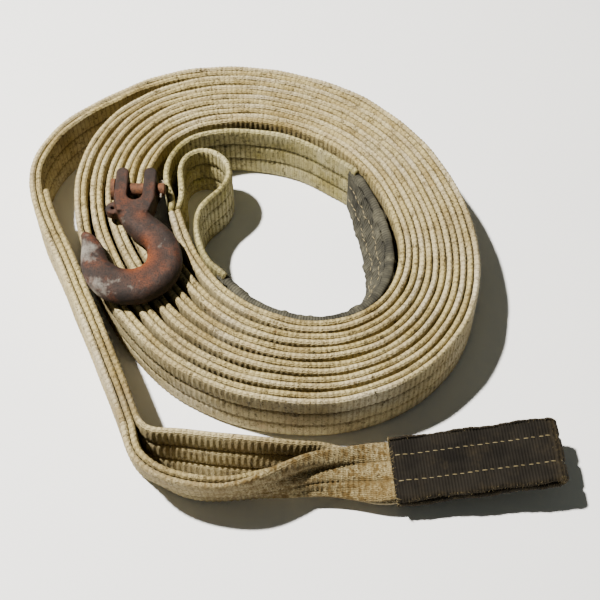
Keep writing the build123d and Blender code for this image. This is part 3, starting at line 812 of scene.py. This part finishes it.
def fibres(name, grid, rows, columns, count, reach, thick, seed, material):
    # Thin curved tapering tubes standing off a grid's surface: root + out * t * reach + a sideways
    # curl that grows with t squared, on three-sided rings that shrink to the tip
    dice = np.random.default_rng(seed)
    i = dice.integers(rows[0], rows[1], count)
    j = dice.choice(columns, count)
    root = grid[i, j]
    out = root - grid[i].mean(axis=1)
    out = out / np.linalg.norm(out, axis=1)[:, None] + dice.normal(0, 0.55, (count, 3))
    out = out / np.linalg.norm(out, axis=1)[:, None]
    curl = np.cross(out, dice.normal(0, 1, (count, 3)))
    curl = curl / np.linalg.norm(curl, axis=1)[:, None]
    long = reach * dice.uniform(0.35, 1.0, count)[:, None, None]
    t = np.linspace(-0.15, 1, 6)[None, :, None]
    line = root[:, None] + long * (out[:, None] * t + curl[:, None] * 0.7 * t * np.abs(t))
    a = np.arange(3) * 2 * np.pi / 3
    other = np.cross(out, curl)
    ring = curl[:, None, None] * np.cos(a)[:, None] + other[:, None, None] * np.sin(a)[:, None]
    size = thick * (1 - 0.7 * np.linspace(0, 1, 6))[None, :, None, None]
    points = line[:, :, None] + ring * size
    points[..., 2] = np.maximum(points[..., 2], 0.05)
    n, m = np.meshgrid(np.arange(5), np.arange(3), indexing="ij")
    k = (m + 1) % 3
    sides = np.stack((n * 3 + m, n * 3 + k, (n + 1) * 3 + k, (n + 1) * 3 + m), -1).reshape(-1, 4)
    sides = (sides[None] + np.arange(count)[:, None, None] * 18).reshape(-1)
    tips = (np.array([[2, 1, 0], [15, 16, 17]])[None] + np.arange(count)[:, None, None] * 18).reshape(-1)
    starts = np.concatenate((np.arange(len(sides) // 4) * 4, len(sides) + np.arange(len(tips) // 3) * 3))
    piece = meshObject(name, toFrame(points.reshape(-1, 3)), [sides, tips], [starts])
    piece.data.materials.append(material)


tanFuzz = threadMaterial("frayedYarnTan", "#8d7a4e")
paleFuzz = threadMaterial("frayedYarnPale", "#c9bd94")
facePoints = outerShape["facePoints"]
topEdge = np.arange(facePoints, facePoints + 7)
nearEdge = np.arange(facePoints * 2 + 7, facePoints * 2 + 10)
everyColumn = np.arange(outerRows.shape[1])
half = len(outerRows) // 2
for name, rows, columns, count, reach, thick, seed in (
    ("sleeveEdgeFuzz", (0, len(outerRows)), np.concatenate((topEdge, nearEdge)), 420, 1.6, 0.09, 41),
    ("sleeveTipFuzz", (half - 12, half + 12), everyColumn, 240, 1.8, 0.1, 42),
    ("sleeveMouthFray", (0, 3), everyColumn, 160, 3.4, 0.12, 43),
):
    fibres(name, outerRows, rows, columns, count, reach, thick, seed, tanFuzz)
for name, path, offset, count, reach, seed in (
    ("rollTopFuzz", rollLast, pairOffset, 500, 1.5, 44),
    ("leadTopFuzz", leadPart, pairOffset, 520, 1.8, 45),
    ("tailTopFuzz", tailPart, tailOffset, 260, 2.6, 46),
    ("upperLegFuzz", upperLeg, 0.0, 260, 1.5, 47),
):
    grid = plyGrid(path, offset, coarseHeights, 3)[0]
    edge = np.arange(len(coarseHeights), len(coarseHeights) + 7)
    fibres(name, grid, (0, len(grid)), edge, count, reach, 0.09, seed, paleFuzz)
print("fibres placed")

hook = dict(
    nodes=["hook_shank", "hook_back", "hook_base", "hook_tip"], square=0.0007, rounds=14, speck=1e-9,
    # x, y, reach, weight of each spot
    fresh=[(-113, -8, 9, 1.0), (-120, -16, 7, 0.8), (-113, 8, 6, 0.5), (-118, 30, 5, 0.35)],
    bare=[(-156, 2, 9, 0.9), (-157, -8, 8, 0.7), (-143, -33, 11, 0.8), (-120, -33, 6, 0.3)])


def spotLevel(place, spots):
    # Sum of bell curves about the spots in plan, held between 0 and 1
    level = sum(
        weight * np.exp(-(((place[:, :2] - np.array(spot)) ** 2).sum(axis=1) / reach**2))
        for *spot, reach, weight in spots)
    return np.clip(level, 0, 1).astype(np.float32)


def forging(name):
    # The hook's solids made one skin of small squares, then relaxed so that every edge is rounded
    points, polygons, count = [], [], 0
    for node in hook["nodes"]:
        mesh = frame["nodes"][node].data
        co = np.zeros(len(mesh.vertices) * 3, np.float32)
        mesh.vertices.foreach_get("co", co)
        points.append(co.reshape(-1, 3))
        corners = np.zeros(len(mesh.loops), np.int32)
        mesh.loops.foreach_get("vertex_index", corners)
        polygons.append(corners.reshape(-1, 3) + count)
        count += len(mesh.vertices)
    rough = bpy.data.meshes.new(name + "Rough")
    rough.from_pydata(np.concatenate(points), [], np.concatenate(polygons))
    draft = bpy.data.objects.new(name + "Rough", rough)
    bpy.context.scene.collection.objects.link(draft)
    remesh = draft.modifiers.new("skin", "REMESH")
    remesh.mode = "VOXEL"
    remesh.voxel_size = hook["square"]
    relax = draft.modifiers.new("relax", "SMOOTH")
    relax.factor = 0.5
    relax.iterations = hook["rounds"]
    bpy.context.view_layer.update()
    finished = draft.evaluated_get(bpy.context.evaluated_depsgraph_get())
    made = bpy.data.meshes.new_from_object(finished)
    bpy.data.objects.remove(draft)
    made.name = name
    co = np.zeros(len(made.vertices) * 3, np.float32)
    made.vertices.foreach_get("co", co)
    co = co.reshape(-1, 3)
    corners = np.zeros(len(made.loops), np.int32)
    made.loops.foreach_get("vertex_index", corners)
    # a bubble of one square inside the skin shrinks to a speck, and its faces are left out
    quads = corners.reshape(-1, 4)
    a, b, c, d = (co[quads[:, n]] for n in range(4))
    area = np.linalg.norm(np.cross(c - a, d - b), axis=1) / 2
    used, quads = np.unique(quads[area > hook["speck"]], return_inverse=True)
    made.clear_geometry()
    made.from_pydata(co[used], [], quads.reshape(-1, 4))
    place = co[used] * 1000 - shift
    for key in ("fresh", "bare"):
        layer = made.attributes.new(key, "FLOAT", "POINT")
        layer.data.foreach_set("value", spotLevel(place, hook[key]))
    made.polygons.foreach_set("use_smooth", np.ones(len(made.polygons), bool))
    piece = bpy.data.objects.new(name, made)
    bpy.context.scene.collection.objects.link(piece)
    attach(piece, "hook")
    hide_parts(*hook["nodes"])
    made.materials.clear()
    made.materials.append(forgedRust)


forging("hookForging")
cadNodes = dict(clevis_pin=pinRust, split_pin=wireSteel)
for node in ("seam_thread_upper", "seam_thread_lower", "inner_eye_bar_tacks", "outer_eye_bar_tacks"):
    cadNodes[node] = tanThread
for node, material in cadNodes.items():
    frame["nodes"][node].data.materials.clear()
    frame["nodes"][node].data.materials.append(material)
print("metal and threads finished")
